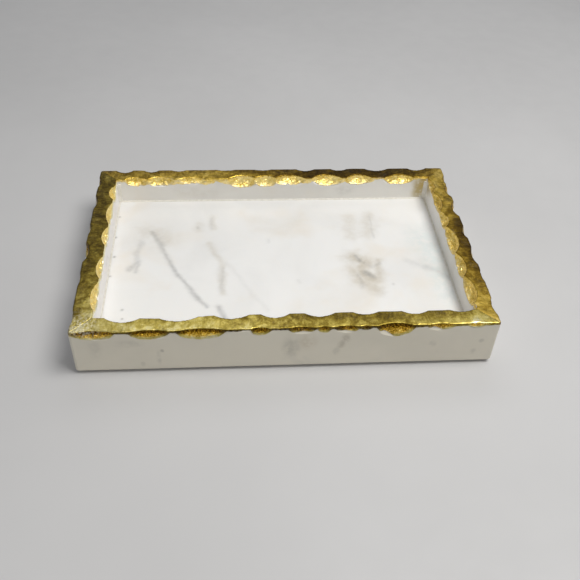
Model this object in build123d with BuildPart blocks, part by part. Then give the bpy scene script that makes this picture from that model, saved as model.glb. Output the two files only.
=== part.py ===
"""Marble vanity tray: a slab floor inside four slab walls, bonded with resin, with a hand-chipped
rim under gold leaf, standing on four bumper feet.

Frame: +Z up, +X along the length, -Y is the front. Origin at the centre of the footprint, on the
surface the feet stand on. Millimetres.
"""

import os
from collections import namedtuple
from math import sqrt

from build123d import *

# ---- overall sizes -----------------------------------------------------------------------------
TRAY_LENGTH = 305.0
TRAY_WIDTH = 200.0
STONE_HEIGHT = 39.5
WALL_THICKNESS = 15.5
FLOOR_THICKNESS = 17.0
FOOT_HEIGHT = 2.0
FOOT_DIAMETER = 12.0
FOOT_EDGE_ROUND = 0.6
FOOT_INSET = 28.0  # from the tray's outer faces to a foot's centre

# ---- edges -------------------------------------------------------------------------------------
OUTER_CORNER_ROUND = 2.5
UNDERSIDE_ROUND = 2.5
WORN_ARRIS_TOP = 0.8  # the arris between chips is rubbed away this far across the top
WORN_ARRIS_FACE = 1.8  # and this far down the face

# ---- resin and leaf ----------------------------------------------------------------------------
GLUE_LINE = 0.4
FLOOR_BEAD = 1.2
CORNER_FILL = 3.0
CORNER_FILL_BELOW_RIM = 4.0
LEAF_THICKNESS = 0.25

# ---- derived -----------------------------------------------------------------------------------
HALF_LENGTH = TRAY_LENGTH / 2
HALF_WIDTH = TRAY_WIDTH / 2
WELL_LENGTH = TRAY_LENGTH - 2 * WALL_THICKNESS
WELL_WIDTH = TRAY_WIDTH - 2 * WALL_THICKNESS
WELL_HALF_LENGTH = WELL_LENGTH / 2
WELL_HALF_WIDTH = WELL_WIDTH / 2
UNDERSIDE_Z = FOOT_HEIGHT
FLOOR_Z = UNDERSIDE_Z + FLOOR_THICKNESS
RIM_Z = UNDERSIDE_Z + STONE_HEIGHT
STANDING = (Align.CENTER, Align.CENTER, Align.MIN)

# ---- chips -------------------------------------------------------------------------------------
# One chip: where its middle is along the wall, half its length along the arris, how far it drops
# down the face, how far it eats back into the top, and how it leans along the wall in degrees.
Chip = namedtuple("Chip", "middle half_length drop retreat lean")

FRONT_OUTER = [
    Chip(-136, 15.5, 7.0, 2.4, -3),
    Chip(-97, 15.0, 7.5, 2.2, 2),
    Chip(-61, 18.0, 8.6, 2.6, 3),
    Chip(-20, 8.0, 6.0, 1.9, 2),
    Chip(9, 10.5, 5.6, 1.6, -2),
    Chip(25, 5.5, 5.4, 1.5, 0),
    Chip(41, 9.5, 5.4, 1.7, -4),
    Chip(55, 5.0, 3.6, 1.2, 0),
    Chip(76, 14.0, 10.4, 3.2, -6),
    Chip(109, 10.5, 5.4, 1.6, 3),
    Chip(134, 6.5, 4.0, 1.4, 0),
]
FRONT_INNER = [
    Chip(-90, 44.5, 6.0, 2.4, 0),
    Chip(-116, 14.0, 7.5, 5.8, 0),
    Chip(-78, 16.5, 7.5, 5.8, 0),
    Chip(-40, 13.5, 6.5, 4.6, 0),
    Chip(-9, 11.0, 6.5, 4.6, 2),
    Chip(23, 12.0, 6.5, 4.2, 0),
    Chip(56, 10.5, 6.0, 3.2, -2),
    Chip(92, 10.5, 6.0, 3.8, 0),
    Chip(126, 10.5, 5.0, 2.6, 0),
]
BACK_INNER = [
    Chip(-120, 10.5, 6.4, 4.4, -3),
    Chip(-99, 12.5, 7.0, 5.0, 3),
    Chip(-72, 13.0, 4.8, 3.8, 0),
    Chip(-28, 14.0, 9.0, 5.8, 2),
    Chip(-8, 11.0, 8.0, 5.4, -3),
    Chip(13, 14.5, 6.2, 6.2, 0),
    Chip(46, 14.5, 7.6, 6.2, -4),
    Chip(75, 12.5, 6.2, 5.6, 2),
    Chip(111, 14.5, 6.5, 5.2, 3),
]
BACK_OUTER = [
    Chip(-131, 8.0, 5.5, 4.0, 0),
    Chip(-108, 7.0, 5.0, 3.5, 2),
    Chip(-84, 8.0, 5.0, 2.4, 0),
    Chip(-43, 9.5, 5.5, 2.3, -2),
    Chip(-10, 9.0, 5.0, 2.3, 0),
    Chip(28, 9.0, 6.0, 3.6, 2),
    Chip(58, 8.0, 5.5, 3.3, 0),
    Chip(92, 11.5, 6.5, 4.2, -2),
    Chip(129, 9.0, 6.0, 4.0, 0),
]
LEFT_OUTER = [
    Chip(-84, 11.0, 6.0, 1.9, 0),
    Chip(-44, 10.0, 5.0, 1.5, 2),
    Chip(-12, 13.0, 7.5, 3.9, 0),
    Chip(17, 8.5, 5.0, 1.9, 0),
    Chip(53, 11.0, 6.0, 2.5, -2),
    Chip(82, 9.5, 5.5, 2.3, 0),
]
LEFT_INNER = [
    Chip(-62, 16.5, 7.0, 4.6, 0),
    Chip(-30, 13.5, 6.0, 4.2, 2),
    Chip(8, 12.5, 6.0, 4.4, 0),
    Chip(38, 15.5, 6.5, 4.0, -2),
    Chip(67, 10.5, 7.0, 4.8, 0),
]
RIGHT_OUTER = [
    Chip(-82, 11.5, 6.0, 2.5, 0),
    Chip(-48, 9.5, 5.0, 1.7, 0),
    Chip(-24, 12.5, 6.5, 3.2, 2),
    Chip(6, 9.0, 5.5, 3.1, 0),
    Chip(38, 12.0, 7.0, 4.3, -2),
    Chip(65, 10.5, 7.0, 4.4, 0),
    Chip(80, 9.0, 5.0, 2.6, 0),
]
RIGHT_INNER = [
    Chip(-63, 16.0, 7.5, 6.0, 0),
    Chip(-34, 14.5, 7.0, 5.2, 0),
    Chip(-3, 17.5, 8.0, 6.8, 2),
    Chip(24, 10.5, 6.5, 5.0, 0),
    Chip(49, 13.5, 6.5, 4.6, 0),
    Chip(73, 9.5, 5.0, 3.6, 0),
]

# Each arris: its chips, the face it belongs to and the turn that points a scoop's outward side
# (+Y) away from the stone. The first four run along X, the others along Y.
ALONG_X = [
    (FRONT_OUTER, -HALF_WIDTH, 180),
    (FRONT_INNER, -WELL_HALF_WIDTH, 0),
    (BACK_INNER, WELL_HALF_WIDTH, 180),
    (BACK_OUTER, HALF_WIDTH, 0),
]
ALONG_Y = [
    (LEFT_OUTER, -HALF_LENGTH, 90),
    (LEFT_INNER, -WELL_HALF_LENGTH, -90),
    (RIGHT_INNER, WELL_HALF_LENGTH, 90),
    (RIGHT_OUTER, HALF_LENGTH, -90),
]


def scoop(chip, skin):
    """The stone one chip takes away, with the arris point at its origin, the arris along X, the
    face outward at +Y. It is a bowl turned about an upright axis outside the face: upright at the
    top, easing out to meet the face at the drop. `skin` cuts that much deeper all over."""
    plan_radius = (chip.half_length**2 + chip.retreat**2) / (2 * chip.retreat)
    bowl_radius = (chip.drop**2 + chip.retreat**2) / (2 * chip.retreat)
    axis_out = plan_radius - chip.retreat
    rest = bowl_radius - chip.retreat
    bottom = -sqrt((bowl_radius + skin) ** 2 - rest**2)
    lip = -chip.retreat - skin
    above_rim = 3.0
    margin = 2.0
    with BuildPart() as bowl:
        with BuildSketch(Plane.YZ):
            with BuildLine():
                Polyline((0, bottom), (axis_out, bottom), (axis_out, above_rim), (lip, above_rim), (lip, 0))
                RadiusArc((lip, 0), (0, bottom), -bowl_radius - skin)
            make_face()
        revolve(axis=Axis((0, axis_out, 0), (0, 0, 1)))
        Box(
            2 * (chip.half_length + margin),
            2 * (chip.retreat + margin),
            4 * chip.drop,
            mode=Mode.INTERSECT,
        )
    return bowl.part


def scoops(skin):
    """Every chip of the rim, in place, each cut `skin` deeper than its leafed surface."""
    spots = [(chip, chip.middle, face, turn) for chips, face, turn in ALONG_X for chip in chips]
    spots += [(chip, face, chip.middle, turn) for chips, face, turn in ALONG_Y for chip in chips]
    placed = []
    for chip, x, y, turn in spots:
        place = Location((x, y, RIM_Z), (0, 0, turn)) * Location((0, 0, 0), (0, chip.lean, 0))
        placed.append(scoop(chip, skin).moved(place))
    return placed


def chipped_ring(skin):
    """The four walls as one ring with every chip taken out. With no skin it is the leafed surface;
    with the leaf's thickness it is the bare stone under the leaf."""
    slope = sqrt(WORN_ARRIS_TOP**2 + WORN_ARRIS_FACE**2)
    grow = 1 + skin * slope / (WORN_ARRIS_TOP * WORN_ARRIS_FACE)
    worn_face = WORN_ARRIS_FACE * grow - skin
    worn_top = WORN_ARRIS_TOP * worn_face / WORN_ARRIS_FACE
    with BuildPart() as ring:
        with Locations((0, 0, UNDERSIDE_Z)):
            Box(TRAY_LENGTH, TRAY_WIDTH, STONE_HEIGHT - skin, align=STANDING)
        fillet(ring.edges().filter_by(Axis.Z), radius=OUTER_CORNER_ROUND)
        fillet(ring.faces().sort_by(Axis.Z)[0].edges(), radius=UNDERSIDE_ROUND)
        with Locations((0, 0, UNDERSIDE_Z)):
            Box(WELL_LENGTH, WELL_WIDTH, STONE_HEIGHT, align=STANDING, mode=Mode.SUBTRACT)
        top = ring.faces().sort_by(Axis.Z)[-1]
        chamfer(top.edges(), length=worn_top, length2=worn_face, reference=top)
        add(scoops(skin), mode=Mode.SUBTRACT)
    return ring.part


def block(x_from, x_to, y_from, y_to):
    """An upright block taller than the tray, for taking one piece out of the ring."""
    with BuildPart() as region:
        with Locations(((x_from + x_to) / 2, (y_from + y_to) / 2, 0)):
            Box(x_to - x_from, y_to - y_from, RIM_Z + FOOT_HEIGHT, align=STANDING)
    return region.part


def taken(ring, region):
    """The part of a ring inside a block."""
    with BuildPart() as piece:
        add(ring)
        add(region, mode=Mode.INTERSECT)
    return piece.part


def make_base_slab():
    """The floor: a plain slab, a glue line smaller than the well all round."""
    with BuildPart() as slab:
        with Locations((0, 0, UNDERSIDE_Z)):
            Box(WELL_LENGTH - 2 * GLUE_LINE, WELL_WIDTH - 2 * GLUE_LINE, FLOOR_THICKNESS, align=STANDING)
    return slab.part


def make_corner_fill(side, end):
    """The resin wedge standing in one inside corner of the well, floor to just under the rim."""
    corner = (side * WELL_HALF_LENGTH, end * WELL_HALF_WIDTH)
    along = (corner[0] - side * CORNER_FILL, corner[1])
    across = (corner[0], corner[1] - end * CORNER_FILL)
    with BuildPart() as fill:
        with BuildSketch(Plane.XY.offset(FLOOR_Z)):
            with BuildLine():
                Polyline(corner, along, across, close=True)
            make_face()
        extrude(amount=RIM_Z - CORNER_FILL_BELOW_RIM - FLOOR_Z)
    return fill.part


def make_corner_joint(bare, side, end):
    """The glue sheet between two walls, with the wedge that fills the corner in front of it. At the
    front the side wall butts the front wall; at the back the back wall butts the side wall."""
    inner, outer = WELL_HALF_LENGTH, HALF_LENGTH
    if end < 0:
        x_range = sorted((side * inner, side * outer))
        y_range = (-WELL_HALF_WIDTH, -WELL_HALF_WIDTH + GLUE_LINE)
    else:
        x_range = sorted((side * inner, side * (inner - GLUE_LINE)))
        y_range = (WELL_HALF_WIDTH, HALF_WIDTH)
    with BuildPart() as joint:
        add(taken(bare, block(*x_range, *y_range)))
        add(make_corner_fill(side, end))
    return joint.part


def make_base_joint_ring():
    """The resin between the floor slab and the walls, with a bead in the angle above the floor."""
    with BuildPart() as ring:
        with Locations((0, 0, UNDERSIDE_Z)):
            Box(WELL_LENGTH, WELL_WIDTH, FLOOR_THICKNESS + FLOOR_BEAD, align=STANDING)
        add(make_base_slab(), mode=Mode.SUBTRACT)
        with BuildSketch(Plane.XY.offset(FLOOR_Z)):
            Rectangle(WELL_LENGTH - 2 * FLOOR_BEAD, WELL_WIDTH - 2 * FLOOR_BEAD)
        extrude(amount=FLOOR_BEAD, taper=-45, mode=Mode.SUBTRACT)
        for side in (-1, 1):
            for end in (-1, 1):
                add(make_corner_fill(side, end), mode=Mode.SUBTRACT)
    return ring.part


def make_base_joint(ring, outline):
    """One wall's share of the base resin, cut at the mitres of the corners."""
    with BuildPart() as joint:
        add(ring)
        with BuildSketch(Plane.XY):
            with BuildLine():
                Polyline(*outline, close=True)
            make_face()
        extrude(amount=RIM_Z, mode=Mode.INTERSECT)
    return joint.part


def make_foot(x, y):
    """A self-adhesive bumper: a low disc with its rim eased where it meets the table."""
    with BuildPart() as foot:
        with Locations((x, y, 0)):
            Cylinder(radius=FOOT_DIAMETER / 2, height=FOOT_HEIGHT, align=STANDING)
        fillet(foot.faces().sort_by(Axis.Z)[0].edges(), radius=FOOT_EDGE_ROUND)
    return foot.part


# ---- build -------------------------------------------------------------------------------------
leafed_ring = chipped_ring(0)
bare_ring = chipped_ring(LEAF_THICKNESS)
with BuildPart() as leaf_ring:
    add(leafed_ring)
    add(bare_ring, mode=Mode.SUBTRACT)

side_from = -WELL_HALF_WIDTH + GLUE_LINE
front_block = block(-HALF_LENGTH, HALF_LENGTH, -HALF_WIDTH, -WELL_HALF_WIDTH)
left_block = block(-HALF_LENGTH, -WELL_HALF_LENGTH, side_from, HALF_WIDTH)
right_block = block(WELL_HALF_LENGTH, HALF_LENGTH, side_from, HALF_WIDTH)
back_half = WELL_HALF_LENGTH - GLUE_LINE
back_block = block(-back_half, back_half, WELL_HALF_WIDTH, HALF_WIDTH)
front_leaf_block = block(-HALF_LENGTH, HALF_LENGTH, -HALF_WIDTH, side_from)
back_leaf_block = block(-WELL_HALF_LENGTH, WELL_HALF_LENGTH, WELL_HALF_WIDTH, HALF_WIDTH)

pieces = {
    "base_slab": make_base_slab(),
    "front_wall": taken(bare_ring, front_block),
    "left_wall": taken(bare_ring, left_block),
    "right_wall": taken(bare_ring, right_block),
    "back_wall": taken(bare_ring, back_block),
    "front_gold_leaf": taken(leaf_ring.part, front_leaf_block),
    "left_gold_leaf": taken(leaf_ring.part, left_block),
    "right_gold_leaf": taken(leaf_ring.part, right_block),
    "back_gold_leaf": taken(leaf_ring.part, back_leaf_block),
}

for end_name, end in (("front", -1), ("back", 1)):
    for side_name, side in (("left", -1), ("right", 1)):
        pieces[f"{end_name}_{side_name}_corner_joint"] = make_corner_joint(bare_ring, side, end)
        foot_x = side * (HALF_LENGTH - FOOT_INSET)
        foot_y = end * (HALF_WIDTH - FOOT_INSET)
        pieces[f"{end_name}_{side_name}_foot"] = make_foot(foot_x, foot_y)

joint_ring = make_base_joint_ring()
a, b = WELL_HALF_LENGTH, WELL_HALF_WIDTH
ridge = a - b
pieces["front_base_joint"] = make_base_joint(joint_ring, [(-a, -b), (a, -b), (ridge, 0), (-ridge, 0)])
pieces["back_base_joint"] = make_base_joint(joint_ring, [(-a, b), (-ridge, 0), (ridge, 0), (a, b)])
pieces["left_base_joint"] = make_base_joint(joint_ring, [(-a, -b), (-ridge, 0), (-a, b)])
pieces["right_base_joint"] = make_base_joint(joint_ring, [(a, -b), (a, b), (ridge, 0)])

os.makedirs("parts", exist_ok=True)
for name, piece in pieces.items():
    piece.label = name
    export_step(piece, f"parts/{name}.step")
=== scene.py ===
import math
from collections import namedtuple

import bpy
import numpy as np
from mathutils import Matrix, Vector
from mathutils.bvhtree import BVHTree


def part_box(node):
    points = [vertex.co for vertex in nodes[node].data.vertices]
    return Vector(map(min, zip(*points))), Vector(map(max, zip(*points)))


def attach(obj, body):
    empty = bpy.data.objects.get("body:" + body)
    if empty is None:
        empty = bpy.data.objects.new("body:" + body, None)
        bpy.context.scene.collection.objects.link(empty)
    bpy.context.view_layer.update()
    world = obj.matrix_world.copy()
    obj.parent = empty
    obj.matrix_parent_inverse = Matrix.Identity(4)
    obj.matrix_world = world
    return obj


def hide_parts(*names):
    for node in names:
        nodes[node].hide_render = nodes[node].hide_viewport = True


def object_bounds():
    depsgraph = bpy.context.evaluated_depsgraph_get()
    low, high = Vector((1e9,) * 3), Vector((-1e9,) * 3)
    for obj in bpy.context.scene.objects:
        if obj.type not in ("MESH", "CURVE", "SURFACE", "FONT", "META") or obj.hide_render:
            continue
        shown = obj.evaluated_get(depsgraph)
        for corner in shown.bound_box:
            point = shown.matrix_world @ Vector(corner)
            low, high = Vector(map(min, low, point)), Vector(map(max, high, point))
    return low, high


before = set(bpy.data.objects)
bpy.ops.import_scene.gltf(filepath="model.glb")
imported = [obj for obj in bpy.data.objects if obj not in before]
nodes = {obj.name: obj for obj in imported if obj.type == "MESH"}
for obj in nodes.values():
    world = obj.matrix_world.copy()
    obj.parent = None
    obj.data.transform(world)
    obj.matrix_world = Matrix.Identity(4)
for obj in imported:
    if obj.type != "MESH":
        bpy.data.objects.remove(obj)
cad_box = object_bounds()
MM = 0.001

WALLS = ("front_wall", "right_wall", "back_wall", "left_wall")
LEAVES = ("front_gold_leaf", "right_gold_leaf", "back_gold_leaf", "left_gold_leaf")
CORNERS = ("front_left", "front_right", "back_left", "back_right")
CORNER_JOINTS = tuple(f"{c}_corner_joint" for c in CORNERS)
BASE_JOINTS = ("front_base_joint", "right_base_joint", "back_base_joint", "left_base_joint")
FEET = tuple(f"{c}_foot" for c in CORNERS)

# ---- sizes taken from the frame, in millimetres ------------------------------------------------
HALF_X = cad_box[1].x / MM
HALF_Y = cad_box[1].y / MM
RIM_Z = cad_box[1].z / MM
WALL = (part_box("front_wall")[1].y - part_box("front_wall")[0].y) / MM
HALF_WALL = WALL / 2
FLOOR_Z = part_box("base_slab")[1].z / MM
UNDER_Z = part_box("base_slab")[0].z / MM


# ---- noise -------------------------------------------------------------------------------------
# Each kind of noise has its own seed. Those of the floor's marks are the first of three in a row.
WRINKLE_SEED, DIMPLE_SEED, SWELL_SEED = 3, 4, 5
FACET_SEED, SPLINTER_SEED = 6, 7
RAGGED_SEED, FRAYED_SEED = 21, 22
POLISH_SEED = 31
GREY_SEED, TAN_SEED, PIT_SEED = 41, 51, 61


class Noise:
    """Smooth value noise in three dimensions, repeatable from its seed. Returns -1 to 1."""

    SIDE = 32
    SHIFT = 11.3  # keeps the lattice off the tray's own planes of symmetry

    def __init__(self, seed):
        self.table = np.random.default_rng(seed).uniform(-1, 1, (self.SIDE,) * 3)

    def at(self, p, scale, octaves=1):
        """Noise at points p (n by 3, mm), with features about `scale` mm across."""
        total, weight, amount = 0, 0, 1.0
        for _ in range(octaves):
            q = p / scale + self.SHIFT
            cell = np.floor(q).astype(int)
            f = q - cell
            f = f * f * (3 - 2 * f)
            value = 0
            for corner in np.ndindex(2, 2, 2):
                i, j, k = ((cell + corner) % self.SIDE).T
                w = np.prod(np.where(corner, f, 1 - f), axis=1)
                value = value + w * self.table[i, j, k]
            total = total + amount * value
            weight += amount
            amount *= 0.5
            scale *= 0.5
        return total / weight


FACET_SIDE, FACET_TILT, FACET_SHIFT = 24, 0.3, 7.7


def facets(p, size, seed):
    """Height of randomly tilted flat cells about `size` mm across: the look of broken stone."""
    rng = np.random.default_rng(seed)
    jitter = rng.uniform(0.1, 0.9, (FACET_SIDE,) * 3 + (3,))
    tilt = rng.normal(0, FACET_TILT, (FACET_SIDE,) * 3 + (3,))
    q = p / size + FACET_SHIFT
    home = np.floor(q).astype(int)
    best = np.full(len(p), 1e9)
    height = np.zeros(len(p))
    for offset in np.ndindex(3, 3, 3):
        cell = home + np.array(offset) - 1
        i, j, k = (cell % FACET_SIDE).T
        away = q - (cell + jitter[i, j, k])
        distance = (away**2).sum(1)
        nearer = distance < best
        best = np.where(nearer, distance, best)
        height = np.where(nearer, (away * tilt[i, j, k]).sum(1), height)
    return height * size


def smoothstep(low, high, x):
    """0 up to low, 1 from high on, and a smooth rise between."""
    t = np.clip((x - low) / (high - low), 0, 1)
    return t * t * (3 - 2 * t)


def make_object(name, verts_mm, faces, attributes=()):
    """A smooth-shaded mesh object, with any painted values as vertex attributes."""
    mesh = bpy.data.meshes.new(name)
    mesh.from_pydata((np.asarray(verts_mm) * MM).tolist(), [], faces)
    for key, values in dict(attributes).items():
        layer = mesh.attributes.new(key, "FLOAT", "POINT")
        layer.data.foreach_set("value", np.asarray(values, dtype=np.float32))
    mesh.polygons.foreach_set("use_smooth", [True] * len(mesh.polygons))
    obj = bpy.data.objects.new(name, mesh)
    bpy.context.scene.collection.objects.link(obj)
    return obj


# ---- gold leaf ---------------------------------------------------------------------------------
# Each side of the rim, in order round the tray: its leaf, the way along it, the way out of it, the
# distance of its centre line from the tray's centre and that of the walls it meets.
Side = namedtuple("Side", "leaf along out centre meets")
SIDE_LINE = HALF_X - HALF_WALL
LONG_LINE = HALF_Y - HALF_WALL
SIDES = (
    Side("front_gold_leaf", (1, 0), (0, -1), LONG_LINE, SIDE_LINE),
    Side("right_gold_leaf", (0, 1), (1, 0), SIDE_LINE, LONG_LINE),
    Side("back_gold_leaf", (-1, 0), (0, 1), LONG_LINE, SIDE_LINE),
    Side("left_gold_leaf", (0, -1), (-1, 0), SIDE_LINE, LONG_LINE),
)

# The grid that is laid over the rim, and the rays that lay it, in mm.
LEAF_STEP = 0.6  # spacing along a side
INNER_ROWS, TOP_ROWS, OUTER_ROWS = 20, 28, 22
ROWS = INNER_ROWS + TOP_ROWS + OUTER_ROWS
CORE_DEPTH = 8.0  # rays are aimed at the wall's centre line, at least this far below the rim
RAY_RUN = 2.6  # they start this many times as far from it as the point that they pass through
LEAF_THICK = 0.1

# Finding a chip's lower edge on a face, in mm.
SCAN_FROM, SCAN_DEPTH, SCAN_STEP = 1.5, 12.5, 0.3
CHIPPED = 0.12  # a face that is this far in is part of a chip
FLAT_RUN = 2.5  # a flat stretch of this length ends the search for more of it
CORNER_CLEAR = 4.0  # a corner's rounding is not read as a chip

# The leaf's lower edge, in mm below the rim.
FLAT_HEM = 1.2  # where there is no chip
LEAST_HEM = 0.9
HEM_REACH = 0.8  # how far up the leaf its torn, thin lower edge shows

# A stretch of one face: from and to (mm along X or Y) and a height in mm.
Stretch = namedtuple("Stretch", "start end height")

# Where the leaf stops short of a chip's lower edge and bare marble shows.
BARE_OUTER = {
    "front_gold_leaf": [
        Stretch(-32, -24, 4.5),
        Stretch(1, 18, 2.0),
        Stretch(31, 46, 2.2),
        Stretch(60, 72, 3.6),
        Stretch(94, 106, 3.6),
    ],
    "right_gold_leaf": [Stretch(-40, -30, 1.6), Stretch(30, 44, 2.0)],
    "back_gold_leaf": [Stretch(20, 34, 1.8), Stretch(-90, -78, 1.8)],
    "left_gold_leaf": [Stretch(-18, -8, 1.8), Stretch(48, 60, 1.5)],
}
BARE_INNER = {
    "front_gold_leaf": [Stretch(-84, -72, 1.2), Stretch(48, 60, 1.0)],
    "right_gold_leaf": [],
    "back_gold_leaf": [
        Stretch(-112, -98, 1.2),
        Stretch(-80, -66, 1.0),
        Stretch(32, 44, 1.2),
        Stretch(62, 72, 1.2),
        Stretch(97, 108, 1.2),
    ],
    "left_gold_leaf": [Stretch(-68, -56, 1.0), Stretch(30, 44, 1.0)],
}

# Where the leaf is also carried down the flat inner face between chips, and how far.
CARRIED_DOWN = {
    "front_gold_leaf": [],
    "right_gold_leaf": [Stretch(-74, -20, 3.4), Stretch(-26, 84, 4.2)],
    "back_gold_leaf": [Stretch(-134, -52, 4.4), Stretch(-56, 98, 4.6), Stretch(94, 126, 2.4)],
    "left_gold_leaf": [Stretch(-84, -60, 4.0), Stretch(-62, 84, 2.6)],
}

# How bright the leaf is along each side, 0 dark brown to 1 pale gold: the station (mm along X or
# Y), then the outer face, the top's outer half, its inner half and the inner face. Values between
# stations are read off in proportion. The values are partly the leaf's own uneven toning and partly
# painted light: the inner face is painted bright, a painted reflection of the tray's white floor,
# and the darker stretches of the top and the outer face are partly painted shade.
Tone = namedtuple("Tone", "run outer top_out top_in inner")
TONES = {
    "front_gold_leaf": [
        Tone(-152, 0.62, 0.80, 0.84, 0.90),
        Tone(-140, 0.50, 0.74, 0.70, 0.90),
        Tone(-118, 0.56, 0.72, 0.58, 0.90),
        Tone(-95, 0.42, 0.70, 0.54, 0.90),
        Tone(-60, 0.50, 0.70, 0.56, 0.90),
        Tone(-42, 0.42, 0.64, 0.44, 0.90),
        Tone(-25, 0.50, 0.62, 0.46, 0.90),
        Tone(0, 0.48, 0.48, 0.36, 0.90),
        Tone(40, 0.52, 0.44, 0.33, 0.90),
        Tone(80, 0.34, 0.42, 0.35, 0.90),
        Tone(110, 0.66, 0.52, 0.31, 0.90),
        Tone(128, 0.88, 0.64, 0.38, 0.90),
        Tone(138, 0.85, 0.72, 0.58, 0.90),
        Tone(152, 0.72, 0.64, 0.60, 0.90),
    ],
    "right_gold_leaf": [
        Tone(-100, 0.64, 0.70, 0.70, 0.80),
        Tone(-70, 0.56, 0.50, 0.56, 0.78),
        Tone(-30, 0.60, 0.20, 0.40, 0.80),
        Tone(15, 0.70, 0.16, 0.36, 0.80),
        Tone(40, 0.56, 0.44, 0.56, 0.78),
        Tone(70, 0.66, 0.62, 0.66, 0.74),
        Tone(100, 0.68, 0.68, 0.68, 0.76),
    ],
    "back_gold_leaf": [
        Tone(-152, 0.50, 0.40, 0.44, 0.80),
        Tone(-120, 0.50, 0.44, 0.56, 0.86),
        Tone(-60, 0.50, 0.52, 0.60, 0.86),
        Tone(-20, 0.46, 0.40, 0.44, 0.90),
        Tone(30, 0.44, 0.14, 0.16, 0.92),
        Tone(100, 0.44, 0.10, 0.12, 0.88),
        Tone(135, 0.50, 0.34, 0.40, 0.78),
        Tone(152, 0.56, 0.58, 0.60, 0.74),
    ],
    "left_gold_leaf": [
        Tone(-100, 0.60, 0.74, 0.84, 0.96),
        Tone(-80, 0.50, 0.46, 0.68, 1.0),
        Tone(-50, 0.48, 0.34, 0.42, 1.0),
        Tone(-4, 0.46, 0.30, 0.32, 1.0),
        Tone(8, 0.90, 0.36, 0.32, 1.0),
        Tone(20, 0.46, 0.30, 0.32, 1.0),
        Tone(60, 0.46, 0.30, 0.33, 1.0),
        Tone(100, 0.46, 0.36, 0.38, 0.9),
    ],
}

WORN_CORNER = (-145.0, -93.0, RIM_Z)  # leaf rubbed thin at the front left corner
WORN_REACH = 11.0
LUMP = (134.0, -98.0, RIM_Z - 0.5)  # a swelling of thick leaf near the front right corner
# Round the lump the leaf is painted brighter: a painted highlight.
LUMP_HEIGHT, LUMP_REACH, LUMP_HIGHLIGHT_REACH = 0.5, 4.5, 5.5


def tree_of(names):
    """A ray-casting tree over several CAD nodes, in metres."""
    verts, polys = [], []
    for name in names:
        mesh = nodes[name].data
        start = len(verts)
        verts += [v.co.copy() for v in mesh.vertices]
        polys += [tuple(start + i for i in p.vertices) for p in mesh.polygons]
    return BVHTree.FromPolygons(verts, polys)


rim_tree = tree_of((*LEAVES, *WALLS, *CORNER_JOINTS))


def place(side, sigma, u, w):
    """Row-frame point (mm) at a station on one side: sigma runs -1 to 1 along it and is mitred at
    the corners, u is out from the wall's centre line, w is up from the rim."""
    along, out = np.array(side.along), np.array(side.out)
    xy = along * (sigma * (side.meets + u)) + out * (side.centre + u)
    return np.array((xy[0], xy[1], RIM_Z + w))


def drop_onto_rim(side, sigma, u, w, core_w):
    """Where a ray from outside through (u, w), aimed at the centre line at core_w, meets the rim."""
    target = place(side, sigma, u, w)
    core = place(side, sigma, 0.0, core_w)
    away = target - core
    start = core + away * RAY_RUN
    hit = rim_tree.ray_cast(Vector(start * MM), Vector(-away))[0]
    return np.array(hit) / MM if hit is not None else target


def chip_edge(side, sigma, face):
    """How far below the rim the chipped surface rejoins the flat face at this station."""
    lowest = -FLAT_HEM
    for w in np.arange(-SCAN_FROM, -SCAN_DEPTH, -SCAN_STEP):
        point = drop_onto_rim(side, sigma, face * HALF_WALL, w, w)
        depth = HALF_WALL - abs(np.dot(point[:2], side.out) - side.centre)
        if depth > CHIPPED:
            lowest = w
        elif w < lowest - FLAT_RUN:
            break
    return lowest


def smooth_run(values, width):
    """A run of values, each averaged with its neighbours."""
    kernel = np.hanning(width + 2)[1:-1]
    padded = np.pad(values, width // 2, mode="edge")
    return np.convolve(padded, kernel / kernel.sum(), mode="valid")


def leaf_edges(side, sigmas, face, bare, carried=()):
    """The ragged lower edge of the leaf, down from the rim, on one face of a side: 1 outer, -1 inner."""
    reach = side.meets + face * HALF_WALL
    clear = CORNER_CLEAR / reach
    edge = np.array([chip_edge(side, s, face) for s in np.clip(sigmas, -1 + clear, 1 - clear)])
    edge = smooth_run(edge, 5)
    run = np.array([np.dot(place(side, s, 0, 0)[:2], np.abs(side.along)) for s in sigmas])
    line = np.column_stack((run, np.full_like(run, face * 9.0 + side.centre), np.zeros_like(run)))
    ragged = 0.55 * Noise(RAGGED_SEED).at(line, 4.2) + 0.3 * Noise(FRAYED_SEED).at(line, 1.3)
    for spot in carried:
        inside = smoothstep(0, 9, np.minimum(run - spot.start, spot.end - run))
        edge = np.minimum(edge, -spot.height * inside + 1.2 * ragged)
    edge = edge - 0.35 + ragged
    for spot in bare:
        middle, half = (spot.start + spot.end) / 2, (spot.end - spot.start) / 2
        edge = edge + spot.height * (1 - smoothstep(0.0, 1.0, np.abs(run - middle) / half))
    return np.clip(edge, -SCAN_DEPTH, -LEAST_HEM)


def leaf_tone(side, points):
    """Brightness of the leaf at each point, from the painted stations of its side, which are partly
    painted light and shade, and how far the point is round onto the inner face."""
    run = points @ np.array((*np.abs(side.along), 0.0))
    across = points @ np.array((*side.out, 0.0)) - side.centre
    down = RIM_Z - points[:, 2]
    stations = np.array(TONES[side.leaf])
    outer, top_out, top_in, inner = (np.interp(run, stations[:, 0], c) for c in stations.T[1:])
    top = top_in + (top_out - top_in) * smoothstep(-4.0, 4.0, across)
    # The outer face is painted darker just under the rim, where a chip's face is steep, and paler lower
    # down, where it turns up to the light: painted shade and painted light.
    outer = outer + 0.34 * smoothstep(2.5, 6.5, down) - 0.3 * (1 - smoothstep(1.5, 4.0, down))
    rounded = smoothstep(0.25, 0.9, down)
    inside = rounded * (across < 0)
    outside = rounded * (across >= 0)
    return top + (inner - top) * inside + (outer - top) * outside, inside


def near(points, centre, reach):
    """1 at a point, falling off smoothly over `reach` mm."""
    return np.exp(-(((points - np.array(centre)) / reach) ** 2).sum(1))


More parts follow.
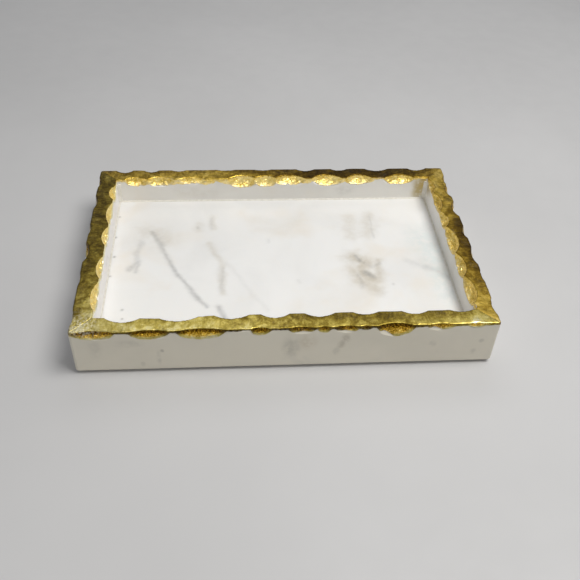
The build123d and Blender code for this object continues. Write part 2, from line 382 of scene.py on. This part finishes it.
def lay_over_rim(side, sigmas):
    """The leaf's grid of points on the CAD rim, and where they would be on a rim without chips."""
    inner = leaf_edges(side, sigmas, -1, BARE_INNER[side.leaf], CARRIED_DOWN[side.leaf])
    outer = leaf_edges(side, sigmas, 1, BARE_OUTER[side.leaf])
    points, uncut = [], []
    for sigma, low_in, low_out in zip(sigmas, inner, outer):
        up = [(-HALF_WALL, low_in * (1 - t)) for t in np.linspace(0, 1, INNER_ROWS, endpoint=False)]
        over = [(u, 0.0) for u in np.linspace(-HALF_WALL, HALF_WALL, TOP_ROWS, endpoint=False)]
        down = [(HALF_WALL, low_out * t) for t in np.linspace(0, 1, OUTER_ROWS)]
        for u, w in up + over + down:
            points.append(drop_onto_rim(side, sigma, u, w, min(w, -CORE_DEPTH)))
            uncut.append(place(side, sigma, u, w))
    return np.array(points), np.array(uncut)


def grid_normals(grid):
    """The way out of the stone at each point of the leaf's grid."""
    across = np.gradient(grid, axis=1)
    along = np.gradient(grid, axis=0)
    normal = np.cross(across, along).reshape(-1, 3)
    return normal / (np.linalg.norm(normal, axis=1, keepdims=True) + 1e-9)


def leaf_lift(points, chip):
    """How far the leaf stands off the CAD rim, in mm: crinkled on the top, faceted in a chip, and
    never under the stone's flat faces."""
    wrinkle = 1 - np.abs(Noise(WRINKLE_SEED).at(points, 2.2, 3)) * 2
    dimple = Noise(DIMPLE_SEED).at(points, 1.1, 2)
    swell = Noise(SWELL_SEED).at(points, 8.0, 2)
    lift = 0.03 + 0.05 * wrinkle + 0.04 * dimple + 0.28 * swell * (1 - chip)
    coarse, fine = facets(points, 3.4, FACET_SEED), facets(points, 1.5, SPLINTER_SEED)
    lift += chip * (0.12 + 0.55 * coarse + 0.1 * fine)
    on_stone = smoothstep(0.8, 1.4, RIM_Z - points[:, 2]) * (1 - chip)
    return np.clip(lift, 0.26 * on_stone - 0.2, 0.6) + LUMP_HEIGHT * near(points, LUMP, LUMP_REACH)


def leaf_paints(side, grid, uncut, chip):
    """What the gold material reads at each point: how chipped and torn the leaf is, how bright it is
    painted (partly painted light and shade) and whether it is on the inner face.
    """
    above_edge = [np.abs(grid[:, :, 2] - grid[:, [end], 2]) for end in (0, -1)]
    inner_half = np.arange(ROWS) < ROWS / 2
    hem = np.exp(-np.where(inner_half, above_edge[0], above_edge[1]) / HEM_REACH)
    tone, inner_face = leaf_tone(side, grid.reshape(-1, 3))
    hem = np.maximum(hem.ravel() * (0.35 + 0.65 * inner_face), near(uncut, WORN_CORNER, WORN_REACH))
    # a painted highlight round the lump
    tone = tone + 0.15 * near(uncut, LUMP, LUMP_HIGHLIGHT_REACH)
    return {"chip": chip, "hem": hem, "tone": tone, "inner_face": inner_face}


def make_leaf(side):
    """The gold skin of one side: a grid laid over the CAD rim, then crinkled and faceted."""
    count = int(2 * (side.meets + HALF_WALL) / LEAF_STEP)
    points, uncut = lay_over_rim(side, np.linspace(-1, 1, count + 1))
    grid = points.reshape(count + 1, ROWS, 3)
    chip = smoothstep(0.5, 1.6, np.linalg.norm(points - uncut, axis=1))
    from_end = np.minimum(np.arange(count + 1), count - np.arange(count + 1))
    settled = 0.15 + 0.85 * smoothstep(0, 4, from_end)  # the leaf lies close at the mitres
    lift = (leaf_lift(points, chip).reshape(count + 1, ROWS) * settled[:, None]).ravel()
    faces = [
        (i * ROWS + j, i * ROWS + j + 1, (i + 1) * ROWS + j + 1, (i + 1) * ROWS + j)
        for i in range(count)
        for j in range(ROWS - 1)
    ]
    lifted = points + grid_normals(grid) * lift[:, None]
    obj = make_object(f"{side.leaf}_skin", lifted, faces, leaf_paints(side, grid, uncut, chip))
    thick = obj.modifiers.new("thickness", "SOLIDIFY")
    thick.thickness = LEAF_THICK * MM
    thick.offset = -1
    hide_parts(side.leaf)
    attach(obj, "root")
    return obj


# ---- floor slab --------------------------------------------------------------------------------
# Veins and stains read off the tray's floor: a polyline in mm, half-width, strength.
Vein = namedtuple("Vein", "path half_width strength")
GREY_VEINS = [
    Vein([(-106, 41), (-101, 31), (-98, 24), (-93, 10), (-88, -2)], 2.2, 0.34),
    Vein(
        [(-93, 10), (-88.5, -2), (-84.5, -11), (-79.5, -20), (-73, -31), (-65, -43), (-58, -54)],
        1.8,
        0.44,
    ),
    Vein([(-70, -36), (-65, -43), (-60, -51)], 2.0, 0.46),
    Vein([(-50, -53), (-47, -60), (-43, -72)], 2.0, 0.42),
    Vein([(-113, 26), (-116, 12), (-115, -2)], 2.6, 0.24),
    Vein([(-114, 2), (-118, -5), (-121, -8)], 2.6, 0.34),
    Vein([(-114, -2), (-116, -11)], 2.0, 0.3),
    Vein([(-47, -8), (-47, -34)], 2.0, 0.16),
    Vein([(-43, -2), (-28, -32), (-13, -58)], 2.0, 0.08),
    Vein([(104, -3), (112, -8), (120, -12)], 3.0, 0.14),
    Vein([(118, -11), (128, -16), (136, -25)], 3.6, 0.3),
    Vein([(63, 5), (66, -2)], 1.6, 0.46),
    Vein([(68, -17), (73, -22)], 2.4, 0.5),
    Vein([(66, -2), (74, -10), (81, -6)], 1.6, 0.18),
    Vein([(62, -20), (64, -32)], 2.4, 0.2),
    Vein([(82, 28), (82, 58)], 1.0, 0.16),
    Vein([(-56, 58), (-56, 44)], 1.6, 0.16),
    Vein([(-67, 46), (-67, 44)], 1.4, 0.2),
    Vein([(89, -30), (89, -30.5)], 1.0, 0.3),
    Vein([(13, -24), (14, -27)], 1.6, 0.12),
    Vein([(-8, 26), (-8, 23)], 1.4, 0.12),
]
TAN_VEINS = [
    Vein([(-112, 40), (-101, 38), (-94, 26)], 8.0, 0.34),
    Vein([(-58, 22), (-55, 15), (-49, 4), (-46, -6), (-48, -22), (-47, -37)], 3.0, 0.36),
    Vein([(-47, -12), (-47, -30)], 3.6, 0.3),
    Vein([(60, 3), (69, -4), (64, -16), (73, -24)], 6.5, 0.7),
    Vein([(58, -14), (63, -26), (74, -37)], 6.0, 0.56),
    Vein([(81, -3), (78, -22)], 4.0, 0.54),
    Vein([(63, 30), (64, 58)], 6.0, 0.3),
    Vein([(76, 32), (81, 58)], 6.5, 0.36),
    Vein([(-56, 60), (-55, 44)], 3.0, 0.3),
    Vein([(-67, 50), (-67, 42)], 3.0, 0.25),
    Vein([(-15, 55), (5, 40), (20, 60)], 9.0, 0.1),
    Vein([(-130, 20), (-118, 40)], 9.0, 0.12),
    Vein([(118, -4), (130, -12)], 6.0, 0.14),
]
PITS = [(-134.5, 62), (-135.5, 33), (-134, 8), (-135, -16), (-122, -54), (-121, -64)]
PIT_HALF_WIDTH, PIT_STRENGTH = 1.0, 0.6
# How far each kind of mark wanders from its path, in mm.
GREY_WANDER, TAN_WANDER, PIT_WANDER = 1.6, 3.0, 0.8

# The slab's mesh, in mm.
EASED = 0.4  # how far the edges round the top face are eased
SIDE_BAND = 4.0  # how far down the side faces their one row of points is
FLOOR_CELLS = (340, 212)


def distance_to_path(p, path):
    """Distance of each point p (n by 2) from a polyline."""
    best = np.full(len(p), 1e9)
    for a, b in zip(path, path[1:]):
        a, b = np.array(a, float), np.array(b, float)
        t = np.clip(((p - a) @ (b - a)) / max(((b - a) ** 2).sum(), 1e-9), 0, 1)
        best = np.minimum(best, np.linalg.norm(p - (a + t[:, None] * (b - a)), axis=1))
    return best


def paint(p3, veins, wander, seed):
    """Strength of a set of veins at points p3, with wandering, fraying edges."""
    shift = np.column_stack((Noise(seed).at(p3, 14, 2), Noise(seed + 1).at(p3, 14, 2)))
    p = p3[:, :2] + wander * shift
    fray = 1 + 0.55 * Noise(seed + 2).at(p3, 5, 3)
    total = np.zeros(len(p))
    for vein in veins:
        width = vein.half_width * fray
        fade = np.exp(-((distance_to_path(p, vein.path) / width) ** 2))
        total = np.maximum(total, vein.strength * fade)
    return total


def eased_stations(low, high, cells):
    """Grid stations across the slab, with two more at each end for the side faces."""
    face = np.arange(low + EASED, high - EASED + 0.01, (high - low - 2 * EASED) / cells)
    return np.concatenate(([low] * 3, face, [high] * 3))


def make_floor():
    """The floor slab: its CAD size, with eased edges and a faintly uneven polished face."""
    low, high = (np.array(c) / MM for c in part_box("base_slab"))
    xs, ys = (eased_stations(low[k], high[k], FLOOR_CELLS[k]) for k in (0, 1))
    nx, ny = len(xs), len(ys)
    gx, gy = np.meshgrid(xs, ys, indexing="ij")
    gz = np.full((nx, ny), high[2])
    flat = np.column_stack((gx.ravel(), gy.ravel(), gz.ravel()))
    gz = gz - 0.03 + 0.03 * Noise(POLISH_SEED).at(flat, 40, 2).reshape(nx, ny)
    for ring, z in ((2, high[2] - EASED), (1, high[2] - SIDE_BAND), (0, low[2])):
        gz[ring, ring : ny - ring] = gz[nx - 1 - ring, ring : ny - ring] = z
        gz[ring : nx - ring, ring] = gz[ring : nx - ring, ny - 1 - ring] = z
    points = np.column_stack((gx.ravel(), gy.ravel(), gz.ravel()))
    faces = [
        (i * ny + j, (i + 1) * ny + j, (i + 1) * ny + j + 1, i * ny + j + 1)
        for i in range(nx - 1)
        for j in range(ny - 1)
    ]
    underside = [j for j in range(ny)] + [i * ny + ny - 1 for i in range(1, nx)]
    underside += [(nx - 1) * ny + j for j in range(ny - 2, -1, -1)]
    underside += [i * ny for i in range(nx - 2, 0, -1)]
    faces.append(tuple(underside))
    pits = [Vein([p, p], PIT_HALF_WIDTH, PIT_STRENGTH) for p in PITS]
    paints = {
        "grey_vein": paint(flat, GREY_VEINS, GREY_WANDER, GREY_SEED),
        "tan_vein": paint(flat, TAN_VEINS, TAN_WANDER, TAN_SEED),
        "pits": paint(flat, pits, PIT_WANDER, PIT_SEED),
    }
    obj = make_object("floor_slab", points, faces, paints)
    obj.data.polygons[len(faces) - 1].use_smooth = False  # or the underside shades into the sides
    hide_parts("base_slab")
    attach(obj, "root")
    return obj


# ---- node helpers ------------------------------------------------------------------------------
class Nodes:
    """A thin wrapper for building a material's node tree."""

    def __init__(self, name):
        self.material = bpy.data.materials.new(name)
        self.material.use_nodes = True
        self.tree = self.material.node_tree
        self.tree.nodes.clear()

    def new(self, kind, settings=(), **inputs):
        node = self.tree.nodes.new(kind)
        for key, value in dict(settings).items():
            setattr(node, key, value)
        for key, value in inputs.items():
            self.feed(node, key.replace("_", " "), value)
        return node

    def feed(self, node, key, value):
        socket = node.inputs[int(key)] if key.isdigit() else node.inputs[key]
        if isinstance(value, bpy.types.NodeSocket):
            self.tree.links.new(value, socket)
        else:
            socket.default_value = value

    def math(self, operation, a, b=0.0, clamp=False):
        node = self.new("ShaderNodeMath", {"operation": operation, "use_clamp": clamp})
        self.feed(node, "0", a)
        self.feed(node, "1", b)
        return node.outputs[0]

    def vector_math(self, operation, a, b):
        node = self.new("ShaderNodeVectorMath", {"operation": operation})
        self.feed(node, "0", a)
        self.feed(node, "1", b)
        return node.outputs[0]

    def noise(self, vector, scale, detail=3.0, roughness=0.5, distortion=0.0):
        node = self.new("ShaderNodeTexNoise", Vector=vector, Scale=scale, Detail=detail)
        node.inputs["Roughness"].default_value = roughness
        node.inputs["Distortion"].default_value = distortion
        return node.outputs["Fac"]

    def band(self, value, low, high, out_low=0.0, out_high=1.0):
        """The value's smooth rise from low to high, mapped onto out_low to out_high."""
        node = self.new("ShaderNodeMapRange", {"interpolation_type": "SMOOTHSTEP"}, Value=value)
        limits = {"From Min": low, "From Max": high, "To Min": out_low, "To Max": out_high}
        for key, number in limits.items():
            node.inputs[key].default_value = number
        return node.outputs["Result"]

    def mix(self, factor, a, b, blend="MIX"):
        node = self.new("ShaderNodeMix", {"data_type": "RGBA", "blend_type": blend})
        self.feed(node, "0", factor)
        for index, value in ((6, a), (7, b)):
            linked = isinstance(value, bpy.types.NodeSocket)
            self.feed(node, str(index), value if linked else (*value, 1.0))
        return node.outputs[2]

    def attribute(self, name):
        return self.new("ShaderNodeAttribute", {"attribute_name": name}).outputs["Fac"]

    def place_mm(self):
        """Object position in millimetres."""
        coords = self.new("ShaderNodeTexCoord").outputs["Object"]
        node = self.new("ShaderNodeVectorMath", {"operation": "SCALE"}, Vector=coords, Scale=1000.0)
        return node.outputs[0]

    def bump(self, height, distance_mm, strength, normal=None):
        node = self.new("ShaderNodeBump", Height=height, Strength=strength, Distance=distance_mm * MM)
        if normal is not None:
            self.feed(node, "Normal", normal)
        return node.outputs["Normal"]

    def finish(self, **inputs):
        shader = self.new("ShaderNodeBsdfPrincipled")
        for key, value in inputs.items():
            self.feed(shader, key.replace("_", " "), value)
        output = self.new("ShaderNodeOutputMaterial")
        self.tree.links.new(shader.outputs["BSDF"], output.inputs["Surface"])
        return self.material


def smudge(n, place, centre, radii):
    """An oval patch with soft edges: 1 in the middle, 0 outside."""
    length = n.new("ShaderNodeVectorMath", {"operation": "LENGTH"})
    n.feed(length, "0", n.vector_math("DIVIDE", n.vector_math("SUBTRACT", place, centre), radii))
    return n.band(length.outputs["Value"], 1.0, 0.2)


# ---- materials ---------------------------------------------------------------------------------
CLOUDED = 0.87  # how dark a cloud in the marble is, against its ground
STAINED = (0.80, 0.73, 0.62)
FAINT_VEIN, GREY_VEIN, TAN_VEIN = (0.36, 0.36, 0.35), (0.26, 0.26, 0.255), (0.54, 0.485, 0.385)
PIT = (0.16, 0.15, 0.13)
CRYSTAL = (0.5, 0.5, 0.48)


def marble(name, ground, painted=False, stains_and_painted_light=()):
    """Polished white marble: its ground, clouded and warmly stained, under faint veins of its own or
    the painted veins and pits of the floor, and then oval patches: stains, painted shadow, painted
    shade and painted reflection."""
    n = Nodes(name)
    place = n.place_mm()
    cloud = n.noise(place, 0.014, 4, 0.55, 0.6)
    colour = n.mix(n.band(cloud, 0.38, 0.72, 0.0, 0.5), ground, [CLOUDED * c for c in ground])
    warm = n.noise(place, 0.022, 3, 0.5, 0.3)
    colour = n.mix(n.band(warm, 0.52, 0.78, 0, 0.45), colour, STAINED)
    if not painted:
        thin = n.math("ABSOLUTE", n.math("SUBTRACT", n.noise(place, 0.012, 3, 0.5, 1.0), 0.5))
        vein = n.math("MULTIPLY", n.band(thin, 0.03, 0.0), n.band(n.noise(place, 0.02, 2), 0.5, 0.75))
        colour = n.mix(n.math("MULTIPLY", vein, 0.22), colour, FAINT_VEIN)
    else:
        grain = n.band(n.noise(place, 0.25, 4, 0.6), 0.25, 0.7, 0.7, 1.15)
        tan = n.math("MULTIPLY", n.attribute("tan_vein"), grain)
        colour = n.mix(tan, colour, TAN_VEIN)
        grey = n.math("MULTIPLY", n.attribute("grey_vein"), grain)
        colour = n.mix(grey, colour, GREY_VEIN)
        colour = n.mix(n.attribute("pits"), colour, PIT)
    # Stains, save for the floor's painted shadow and the painted reflection and shade at the back right
    # corner.
    for centre, radii, tint, strength in stains_and_painted_light:
        patch = smudge(n, place, centre, radii)
        broken = n.math("MULTIPLY", patch, n.band(n.noise(place, 0.16, 4, 0.6), 0.3, 0.62, 0.1, 1.0))
        colour = n.mix(n.math("MULTIPLY", broken, strength), colour, tint)
    crystal = n.noise(place, 1.4, 3, 0.7)
    colour = n.mix(n.band(crystal, 0.3, 0.7, 0.0, 0.03), colour, CRYSTAL)
    rough = n.band(n.noise(place, 0.12, 4, 0.6), 0.3, 0.75, 0.3, 0.42)
    normal = n.bump(n.noise(place, 0.5, 3, 0.5), 0.01, 0.3)
    return n.finish(
        Base_Color=colour,
        Roughness=rough,
        Normal=normal,
        Subsurface_Weight=0.12,
        Subsurface_Radius=(0.004, 0.0035, 0.003),
        Subsurface_Scale=1.0,
    )


# The leaf's colour at each tone, and what tints it in a chip, in an outer chip (a deeper amber that
# is painted shade) and where it is torn.
GOLD_TONES = (
    (0.00, (0.050, 0.028, 0.004)),
    (0.22, (0.130, 0.080, 0.010)),
    (0.42, (0.310, 0.205, 0.024)),
    (0.62, (0.620, 0.450, 0.075)),
    (0.80, (0.880, 0.690, 0.190)),
    (1.00, (0.970, 0.840, 0.420)),
)
IN_CHIP, OUTER_CHIP_SHADE = (1.06, 0.97, 0.74), (1.08, 0.97, 0.68)
TORN = (0.86, 0.80, 0.60)


def gold_leaf(name, grain, cast):
    """Crinkled leaf over stone, brushed on across the rim: its painted tone is broken by streaks and,
    over a chip, by flecks; it is thin and pale at its torn lower edge. `grain` stretches the streaks
    and `cast` tints the leaf where it lies flat."""
    n = Nodes(name)
    place = n.place_mm()
    brushed = n.vector_math("MULTIPLY", place, grain)
    chip = n.attribute("chip")
    streak = n.band(n.noise(brushed, 0.45, 4, 0.55, 0.6), 0.3, 0.7, -0.06, 0.06)
    patch = n.band(n.noise(place, 0.14, 4, 0.65, 0.6), 0.32, 0.68, -0.13, 0.13)
    fleck = n.band(n.noise(place, 0.8, 4, 0.7), 0.32, 0.68, -0.30, 0.30)
    fleck = n.math("MULTIPLY", fleck, n.band(chip, 0.0, 1.0, 0.15, 1.0))
    inner_face = n.attribute("inner_face")
    fleck = n.math("MULTIPLY", fleck, n.band(inner_face, 0.0, 1.0, 1.0, 0.5))
    streaked = n.math("ADD", n.attribute("tone"), streak)
    tone = n.math("ADD", streaked, n.math("ADD", patch, fleck), clamp=True)
    ramp = n.new("ShaderNodeValToRGB", Fac=tone)
    for index, (at, tint) in enumerate(GOLD_TONES):
        stop = ramp.color_ramp.elements[index] if index < 2 else ramp.color_ramp.elements.new(at)
        stop.position, stop.color = at, (*tint, 1.0)
    lying_flat = n.band(chip, 0.0, 1.0, 1.0, 0.0)
    colour = n.mix(lying_flat, ramp.outputs["Color"], cast, "MULTIPLY")
    colour = n.mix(chip, colour, IN_CHIP, "MULTIPLY")
    # Outer chips are tinted a deeper amber: painted shade, for the dark surroundings that they mirror.
    outer_chip = n.math("MULTIPLY", chip, n.band(inner_face, 0.0, 1.0, 1.0, 0.0))
    colour = n.mix(outer_chip, colour, OUTER_CHIP_SHADE, "MULTIPLY")
    tatter = n.band(n.noise(place, 0.5, 4, 0.65), 0.42, 0.62, 0.0, 0.8)
    torn = n.math("MULTIPLY", n.attribute("hem"), tatter)
    colour = n.mix(torn, colour, TORN)
    metal = n.math("SUBTRACT", 1.0, n.math("MULTIPLY", torn, 0.7))
    metal = n.math("MULTIPLY", metal, n.band(inner_face, 0.0, 1.0, 1.0, 0.6))
    rough = n.band(n.noise(place, 0.35, 4, 0.6), 0.3, 0.72, 0.28, 0.46)
    grain_height = n.math("MULTIPLY", n.noise(place, 1.4, 4, 0.7), n.band(chip, 0.0, 1.0, 0.3, 1.0))
    grain_height = n.math("MULTIPLY", grain_height, n.band(inner_face, 0.0, 1.0, 1.0, 0.5))
    normal = n.bump(n.noise(brushed, 0.6, 3, 0.55), 0.1, 0.3)
    normal = n.bump(grain_height, 0.16, 0.9, normal)
    normal = n.bump(n.noise(place, 0.3, 3, 0.6), 0.35, 0.6, normal)
    return n.finish(Base_Color=colour, Metallic=metal, Roughness=rough, Normal=normal)


def resin(name):
    """Off-white stone adhesive: slightly yellow, satin, a little clouded."""
    n = Nodes(name)
    place = n.place_mm()
    cloud = n.noise(place, 0.25, 4, 0.6)
    colour = n.mix(n.band(cloud, 0.35, 0.65), (0.80, 0.77, 0.70), (0.70, 0.67, 0.59))
    rough = n.band(n.noise(place, 0.8, 3), 0.3, 0.7, 0.34, 0.5)
    normal = n.bump(n.noise(place, 0.9, 3), 0.05, 0.6)
    return n.finish(Base_Color=colour, Roughness=rough, Normal=normal)


def bumper(name):
    """Milky clear polyurethane, with a satin bloom and patches of dust."""
    n = Nodes(name)
    place = n.place_mm()
    dust = n.band(n.noise(place, 0.9, 4, 0.7), 0.45, 0.7)
    colour = n.mix(dust, (0.74, 0.75, 0.75), (0.58, 0.57, 0.55))
    rough = n.band(n.noise(place, 0.5, 3), 0.3, 0.7, 0.3, 0.5)
    normal = n.bump(n.noise(place, 1.5, 3), 0.03, 0.4)
    return n.finish(
        Base_Color=colour,
        Roughness=rough,
        Normal=normal,
        Subsurface_Weight=0.3,
        Subsurface_Scale=0.004,
    )


# ---- the pieces and their materials ------------------------------------------------------------
def dress(obj, material):
    """Give a piece one material in place of those that it has."""
    obj.data.materials.clear()
    obj.data.materials.append(material)


# Patches read off the stone, stains and painted light: centre and radii in mm, colour, strength.
GREY, TAN, BROWN = (0.33, 0.31, 0.26), (0.50, 0.41, 0.28), (0.30, 0.25, 0.18)
# The tint of the right wall's painted shadow on the floor.
FLOOR_SHADOW_TINT = (0.64, 0.72, 0.70)
FRONT_FACE, BACK_INNER, RIGHT_INNER = -HALF_Y, HALF_Y - WALL, HALF_X - WALL
FRONT_SMUDGES = [
    ((-89.5, FRONT_FACE, 22), (2.0, 9, 2.4), GREY, 0.7),
    ((-92, FRONT_FACE, 15), (2.6, 9, 10), GREY, 0.3),
    ((-112, FRONT_FACE, 30), (14, 9, 5), GREY, 0.25),
    ((-136, FRONT_FACE, 26), (7, 9, 13), GREY, 0.18),
    ((2, FRONT_FACE, 22), (9, 9, 14), GREY, 0.42),
    ((14, FRONT_FACE, 27), (9, 9, 10), TAN, 0.4),
    ((41, FRONT_FACE, 30), (5, 9, 6), BROWN, 0.42),
    ((38, FRONT_FACE, 24), (4.4, 9, 6), BROWN, 0.42),
    ((35, FRONT_FACE, 17), (4, 9, 6), GREY, 0.3),
    ((105, FRONT_FACE, 22), (4.5, 9, 5), GREY, 0.28),
    ((141, FRONT_FACE, 24), (3.0, 9, 3.0), GREY, 0.4),
    ((137, FRONT_FACE, 13), (3.4, 9, 4.4), GREY, 0.3),
    ((-104, FRONT_FACE, 9), (2.8, 9, 3.4), GREY, 0.3),
]
BACK_STAINS_AND_PAINTED_LIGHT = [
    ((62, BACK_INNER, 29), (14, 9, 7), GREY, 0.2),
    ((-70, BACK_INNER, 28), (30, 9, 8), TAN, 0.14),
    # The two amber patches at the back right corner: a painted reflection of the right wall's gold and
    # painted shade in the corner.
    ((131, BACK_INNER, 30), (10, 7, 24), (0.50, 0.40, 0.19), 1.0),
    ((134, BACK_INNER, 36), (7, 7, 12), (0.52, 0.38, 0.13), 1.0),
]
# An amber patch on the right wall by the back right corner: a painted reflection of the gold and painted
# shade in the corner.
RIGHT_PAINTED_REFLECTION_AND_SHADE = [((RIGHT_INNER, 82, 36), (9, 18, 12), (0.52, 0.41, 0.20), 0.9)]
# A cool grey-green patch on the floor along the right wall: the right wall's painted shadow.
FLOOR_PAINTED_SHADOW = [
    ((130, -10, FLOOR_Z), (17, 80, 9), FLOOR_SHADOW_TINT, 0.5),
    ((118, 25, FLOOR_Z), (16, 30, 9), FLOOR_SHADOW_TINT, 0.32),
]

# The leaf's streaks run across the rim, and the front and left sides are a little greener.
ALONG_X_GRAIN, ALONG_Y_GRAIN = (1.0, 0.3, 1.0), (0.3, 1.0, 1.0)
OLIVE, AMBER = (0.92, 1.01, 1.4), (1.0, 0.95, 0.95)
GOLDS = (
    gold_leaf("gold_leaf_front", ALONG_X_GRAIN, OLIVE),
    gold_leaf("gold_leaf_right", ALONG_Y_GRAIN, AMBER),
    gold_leaf("gold_leaf_back", ALONG_X_GRAIN, AMBER),
    gold_leaf("gold_leaf_left", ALONG_Y_GRAIN, OLIVE),
)
for side, gold in zip(SIDES, GOLDS):
    dress(make_leaf(side), gold)

dress(make_floor(), marble("marble_floor", (0.86, 0.853, 0.83), painted=True, stains_and_painted_light=FLOOR_PAINTED_SHADOW))
# The walls are one marble with a ground set for each to stand in for its light: the front wall's darker,
# warmer ground and the back wall's greyer one are painted shade, the paler left and right walls painted
# light.
for name, ground, stains_and_painted_light in (
    ("front_wall", (0.735, 0.69, 0.575), FRONT_SMUDGES),
    ("back_wall", (0.83, 0.81, 0.76), BACK_STAINS_AND_PAINTED_LIGHT),
    ("left_wall", (0.94, 0.91, 0.88), ()),
    ("right_wall", (0.93, 0.91, 0.87), RIGHT_PAINTED_REFLECTION_AND_SHADE),
):
    dress(nodes[name], marble(f"marble_{name}", ground, stains_and_painted_light=stains_and_painted_light))
resin_material = resin("stone_resin")
for name in (*CORNER_JOINTS, *BASE_JOINTS):
    dress(nodes[name], resin_material)
bumper_material = bumper("clear_bumper")
for name in FEET:
    dress(nodes[name], bumper_material)


# ---- stage -------------------------------------------------------------------------------------
def studio_floor_material():
    """Pale matt grey, very faintly uneven."""
    n = Nodes("studio_floor")
    place = n.place_mm()
    colour = n.mix(n.band(n.noise(place, 0.004, 3), 0.3, 0.7), (0.56, 0.555, 0.55), (0.59, 0.585, 0.58))
    rough = n.band(n.noise(place, 0.05, 3), 0.3, 0.7, 0.55, 0.7)
    return n.finish(Base_Color=colour, Roughness=rough)


STUDIO_REACH = 8000.0  # mm each way
studio_corners = [(x * STUDIO_REACH, y * STUDIO_REACH, 0) for x, y in ((-1, -1), (1, -1), (1, 1), (-1, 1))]
studio = make_object("studio_floor", studio_corners, [(0, 1, 2, 3)])
dress(studio, studio_floor_material())


def soft_light(name, place_m, size_m, power, tint):
    """A soft box, aimed at the tray's centre. Places and sizes are in metres, power in watts."""
    data = bpy.data.lights.new(name, "AREA")
    data.shape = "RECTANGLE"
    data.size, data.size_y = size_m
    data.energy = power
    data.color = tint
    obj = bpy.data.objects.new(name, data)
    obj.location = place_m
    obj.rotation_mode = "QUATERNION"
    obj.rotation_quaternion = (-Vector(place_m)).to_track_quat("-Z", "Y")
    bpy.context.scene.collection.objects.link(obj)


NEUTRAL, WARM = (1.0, 0.99, 0.97), (1.0, 0.97, 0.92)
soft_light("key", (0.48, -0.24, 1.2), (0.7, 0.6), 12.2, NEUTRAL)
soft_light("front", (-0.25, -1.0, 1.0), (0.2, 0.2), 2.0, WARM)
soft_light("back", (0.1, 0.75, 1.0), (1.0, 0.5), 1.9, NEUTRAL)

world = bpy.data.worlds.new("studio_air")
world.use_nodes = True
background = world.node_tree.nodes["Background"]
background.inputs["Color"].default_value = (0.9, 0.93, 1.0, 1.0)
background.inputs["Strength"].default_value = 0.22
bpy.context.scene.world = world
bpy.context.scene.view_settings.view_transform = "Standard"

# ---- camera: the photograph's viewpoint --------------------------------------------------------
# The fit gave the place in metres from the centre of the stone's underside, and the angles in radians.
YAW, PITCH, ROLL = 0.103, 0.740, 0.049
CAMERA_PLACE = Vector((-0.03875, -0.46667, 0.41242 + UNDER_Z * MM))
SENSOR_WIDTH, LENS = 36.0, 46.56
camera_data = bpy.data.cameras.new("camera")
camera_data.sensor_width = SENSOR_WIDTH
camera_data.lens = LENS
camera = bpy.data.objects.new("camera", camera_data)
forward = Vector((math.sin(YAW) * math.cos(PITCH), math.cos(YAW) * math.cos(PITCH), -math.sin(PITCH)))
right = Vector((math.cos(YAW), -math.sin(YAW), 0.0))
up = right.cross(forward)
right, up = (
    math.cos(ROLL) * right + math.sin(ROLL) * up,
    -math.sin(ROLL) * right + math.cos(ROLL) * up,
)
turn = Matrix((right, up, -forward)).transposed().to_4x4()
camera.matrix_world = Matrix.Translation(CAMERA_PLACE) @ turn
bpy.context.scene.collection.objects.link(camera)
bpy.context.scene.camera = camera
